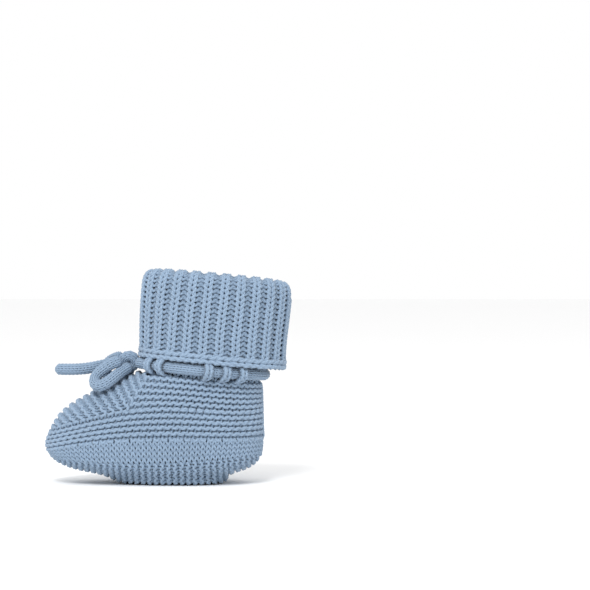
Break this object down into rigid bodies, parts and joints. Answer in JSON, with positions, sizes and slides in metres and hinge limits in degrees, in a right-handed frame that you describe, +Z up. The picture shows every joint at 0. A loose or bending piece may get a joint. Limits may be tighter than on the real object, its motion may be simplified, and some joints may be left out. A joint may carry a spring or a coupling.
{
  "type": "baby bootie",
  "caption": "Knitted baby bootie: garter-stitch foot and sole, turned-down ribbed cuff and a knitted cord tied in a bow at the ankle.",
  "frame": {"origin": "on the ground under the middle of the bootie's length, in its middle plane", "axes": "+Z up, -Y towards the toe, +X to the wearer's left when the toe points away (the bow's forward end lies on this side)"},
  "size_m": [0.0464, 0.112, 0.0973],
  "materials": {
    "garter_knit": "matte garter-stitch cotton, dusty light blue",
    "sole_knit": "matte dense garter-stitch cotton, dusty light blue",
    "rib_knit": "matte ribbed cotton knit, dusty light blue",
    "tie_knit": "matte fine tubular cotton knit, dusty light blue"
  },
  "bodies": {
    "bootie": {"sole": "sole_knit", "sole_edge": "sole_knit", "foot_band": "garter_knit", "side_wall_right": "garter_knit", "side_wall_left": "garter_knit", "instep": "garter_knit", "heel_seam": "garter_knit", "ankle_band": "garter_knit", "eyelet_bars": "garter_knit", "leg": "rib_knit", "cuff_fold": "rib_knit", "cuff": "rib_knit", "cuff_hem": "rib_knit", "cuff_seam": "rib_knit", "ankle_tie": "tie_knit", "tie_knot": "tie_knit"},
    "right_loop": {"bow_loop_right": "tie_knit"},
    "left_loop": {"bow_loop_left": "tie_knit"},
    "right_end": {"tie_end_right": "tie_knit"},
    "left_end": {"tie_end_left": "tie_knit"}
  },
  "joints": [
    {"name": "right_loop_lift", "type": "hinge", "parent": "bootie", "child": "right_loop", "pos_m": [0, -0.0178, 0.0548], "axis": [-0.8102, -0.5861, 0], "range_deg": [0, 22]},
    {"name": "left_loop_lift", "type": "hinge", "parent": "bootie", "child": "left_loop", "pos_m": [0, -0.0178, 0.0548], "axis": [-0.5, 0.866, 0], "range_deg": [0, 22]},
    {"name": "right_end_swing", "type": "hinge", "parent": "bootie", "child": "right_end", "pos_m": [0, -0.0178, 0.0548], "axis": [-1, 0, 0], "range_deg": [-2, 25]},
    {"name": "left_end_lift", "type": "hinge", "parent": "bootie", "child": "left_end", "pos_m": [0, -0.0178, 0.0548], "axis": [-0.6801, 0.7331, 0], "range_deg": [0, 8]}
  ]
}
